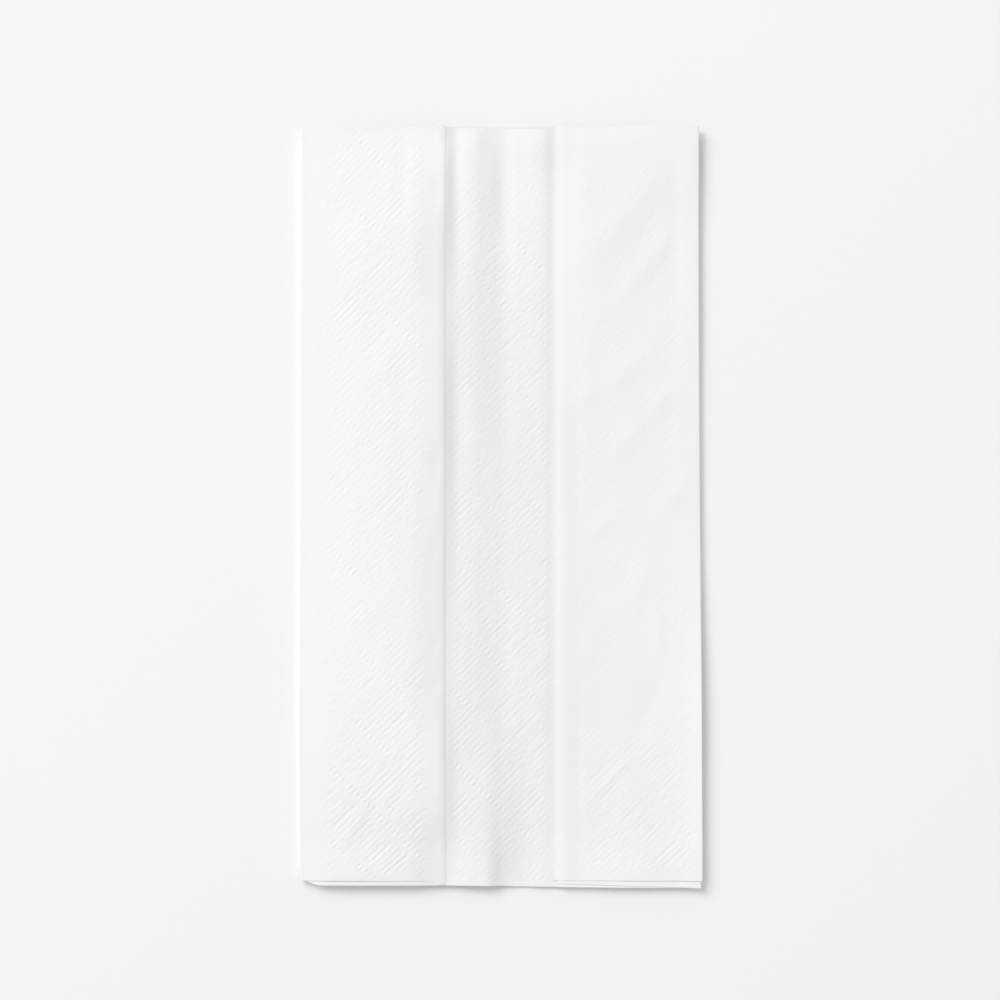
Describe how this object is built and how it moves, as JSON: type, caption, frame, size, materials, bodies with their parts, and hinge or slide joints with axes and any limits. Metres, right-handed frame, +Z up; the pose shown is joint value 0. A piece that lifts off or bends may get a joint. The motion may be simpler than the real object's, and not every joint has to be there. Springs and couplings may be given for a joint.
{
  "type": "paper napkin",
  "caption": "Tall dispenser napkin of embossed white tissue, doubled and C-folded so that both long sides turn in over an open middle strip.",
  "frame": {"origin": "on the surface that the napkin lies on, under the middle of its outline", "axes": "+X across the folded napkin from its closed half fold's flap to its cut edges' flap, +Y along its length, +Z up"},
  "size_m": [0.094, 0.178, 0.0043],
  "materials": {
    "tissue": "matte embossed tissue"
  },
  "bodies": {
    "root": {"napkin": "tissue"}
  },
  "joints": []
}
